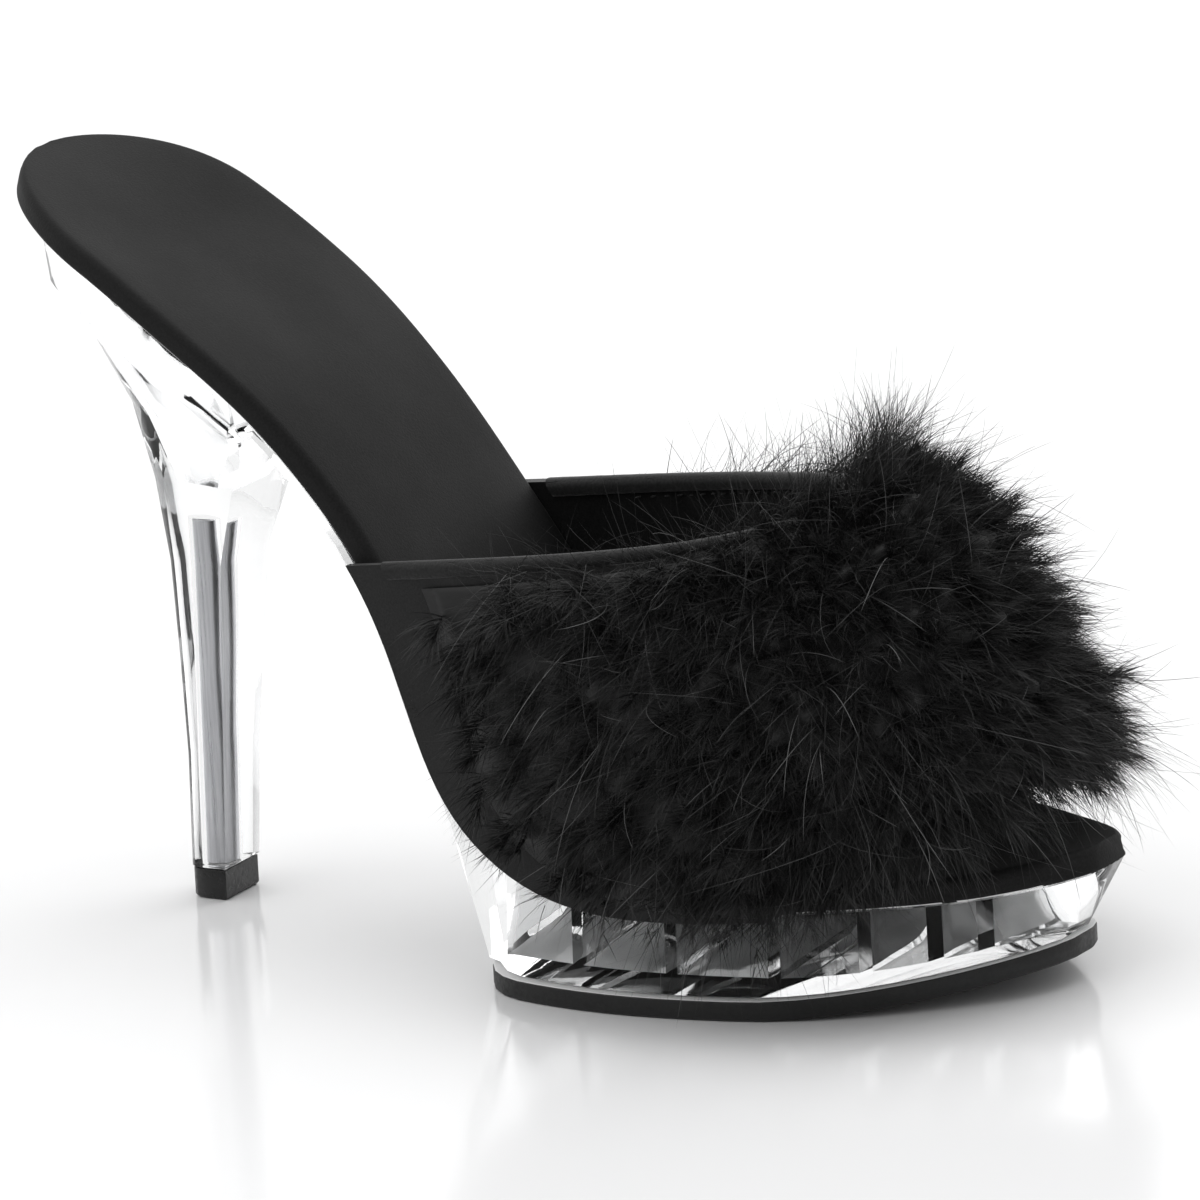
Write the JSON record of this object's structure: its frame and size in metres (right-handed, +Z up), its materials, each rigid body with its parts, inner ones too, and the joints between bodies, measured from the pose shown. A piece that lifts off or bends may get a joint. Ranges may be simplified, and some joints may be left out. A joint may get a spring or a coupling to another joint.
{
  "type": "marabou slipper",
  "caption": "High-heeled open-back slipper with a clear platform and slim clear heel, a padded insole, and a hooped band over the forefoot covered in deep feather trim.",
  "frame": {"origin": "under the ball of the foot, on the outsole's flat spot", "axes": "+X toward the toe, -Y toward the shoe's inner side, +Z up from the floor"},
  "size_m": [0.2013, 0.1016, 0.1259],
  "materials": {
    "insole": "brushed microfabric sock, matte with a soft sheen",
    "outsole": "satin",
    "platform": "clear, polished",
    "heel": "clear, polished",
    "heel_dowel": "drawn tube",
    "heel_tip": "satin",
    "upper": "satin weave",
    "marabou": "loose down, matte"
  },
  "bodies": {
    "root": {"insole": "insole", "outsole": "outsole", "platform": "platform", "heel": "heel", "heel_dowel": "heel_dowel", "heel_tip": "heel_tip", "upper": "upper", "marabou": "marabou"}
  },
  "joints": []
}
